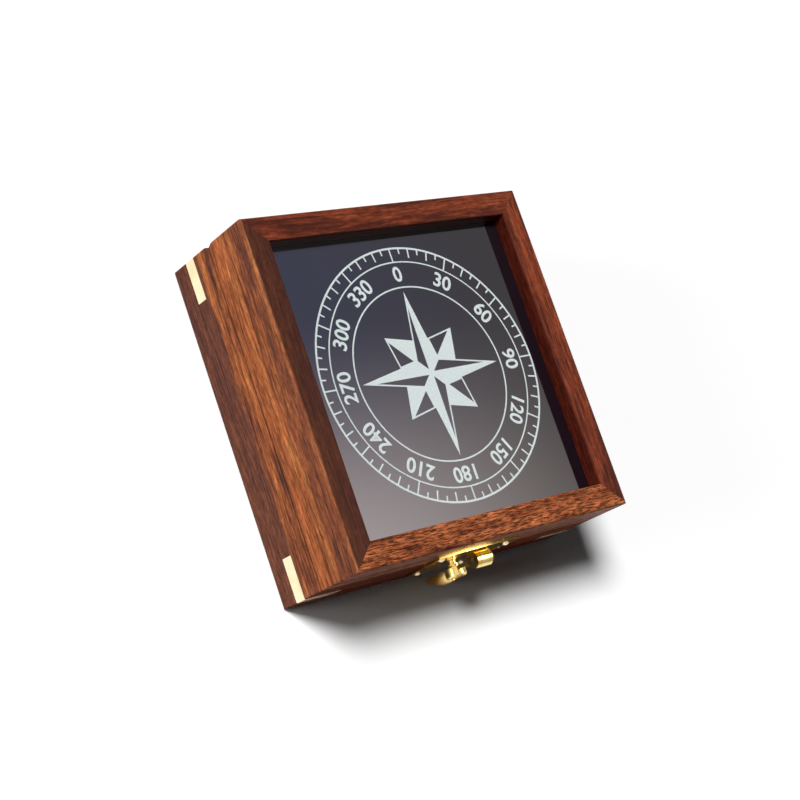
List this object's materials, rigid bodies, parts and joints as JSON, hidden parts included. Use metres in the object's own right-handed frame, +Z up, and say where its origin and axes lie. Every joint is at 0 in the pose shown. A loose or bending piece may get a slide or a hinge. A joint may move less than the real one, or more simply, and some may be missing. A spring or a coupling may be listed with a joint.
{
  "type": "magnetic compass",
  "caption": "Box compass: square wooden case with a glazed, hinged lid and a brass hasp, and a card compass that hangs level on a gimbal ring inside.",
  "frame": {"origin": "middle of the case's underside, on the surface that it stands on", "axes": "+Z up out of the lid's glass, +Y towards the hinges, +X to the right when the hasp faces the viewer"},
  "size_m": [0.102, 0.1082, 0.0385],
  "materials": {
    "rosewood": "satin lacquer, dark streaked",
    "floor_wood": "satin lacquer",
    "inlay_brass": "polished flush",
    "latch_brass": "polished",
    "hinge_brass": "brushed",
    "bowl_brass": "turned and polished",
    "pin_steel": "plain",
    "lid_glass": "smoked, polished, with a frosted design",
    "bowl_glass": "clear, polished",
    "seal_rubber": "matt",
    "card_face": "enamelled",
    "magnet_steel": "dark",
    "jewel": "polished"
  },
  "bodies": {
    "base": {"base_front_board": "rosewood", "base_back_board": "rosewood", "base_left_board": "rosewood", "base_right_board": "rosewood", "base_bottom_panel": "floor_wood", "corner_inlay_front_left": "inlay_brass", "corner_inlay_front_right": "inlay_brass", "corner_inlay_back_left": "inlay_brass", "corner_inlay_back_right": "inlay_brass", "left_hinge_base_leaf": "hinge_brass", "left_hinge_pin": "pin_steel", "right_hinge_base_leaf": "hinge_brass", "right_hinge_pin": "pin_steel", "base_hinge_screws": "hinge_brass", "latch_lower_plate": "latch_brass", "lower_plate_nails": "latch_brass", "latch_knob": "latch_brass", "wall_pivots": "bowl_brass"},
    "lid": {"lid_front_rail": "rosewood", "lid_back_rail": "rosewood", "lid_left_rail": "rosewood", "lid_right_rail": "rosewood", "lid_glass": "lid_glass", "left_hinge_lid_leaf": "hinge_brass", "right_hinge_lid_leaf": "hinge_brass", "lid_hinge_screws": "hinge_brass", "latch_upper_plate": "latch_brass", "upper_plate_nails": "latch_brass", "hasp_pin": "pin_steel"},
    "hasp": {"hasp": "latch_brass"},
    "gimbal": {"gimbal_ring": "bowl_brass", "ring_pivots": "pin_steel"},
    "bowl": {"compass_bowl": "bowl_brass", "bowl_weight": "bowl_brass", "pivot_post": "pin_steel", "lubber_line": "seal_rubber", "bowl_gasket": "seal_rubber", "bowl_glass": "bowl_glass", "bezel_ring": "bowl_brass"},
    "card": {"compass_card": "card_face", "card_cap": "bowl_brass", "cap_jewel": "jewel", "card_magnets": "magnet_steel"}
  },
  "joints": [
    {"name": "lid_hinge", "type": "hinge", "parent": "base", "child": "lid", "pos_m": [0, 0.0499, 0.02045], "axis": [-1, 0, 0], "range_deg": [0, 105]},
    {"name": "hasp_hinge", "type": "hinge", "parent": "lid", "child": "hasp", "pos_m": [0, -0.0542, 0.02685], "axis": [-1, 0, 0], "range_deg": [0, 165]},
    {"name": "gimbal_tilt", "type": "hinge", "parent": "base", "child": "gimbal", "pos_m": [0, 0, 0.0172], "axis": [1, 0, 0], "range_deg": [-12, 12]},
    {"name": "bowl_tilt", "type": "hinge", "parent": "gimbal", "child": "bowl", "pos_m": [0, 0, 0.0172], "axis": [0, 1, 0], "range_deg": [-12, 12]},
    {"name": "card_turn", "type": "hinge", "parent": "bowl", "child": "card", "pos_m": [0, 0, 0.0172], "axis": [0, 0, 1], "continuous": true}
  ]
}
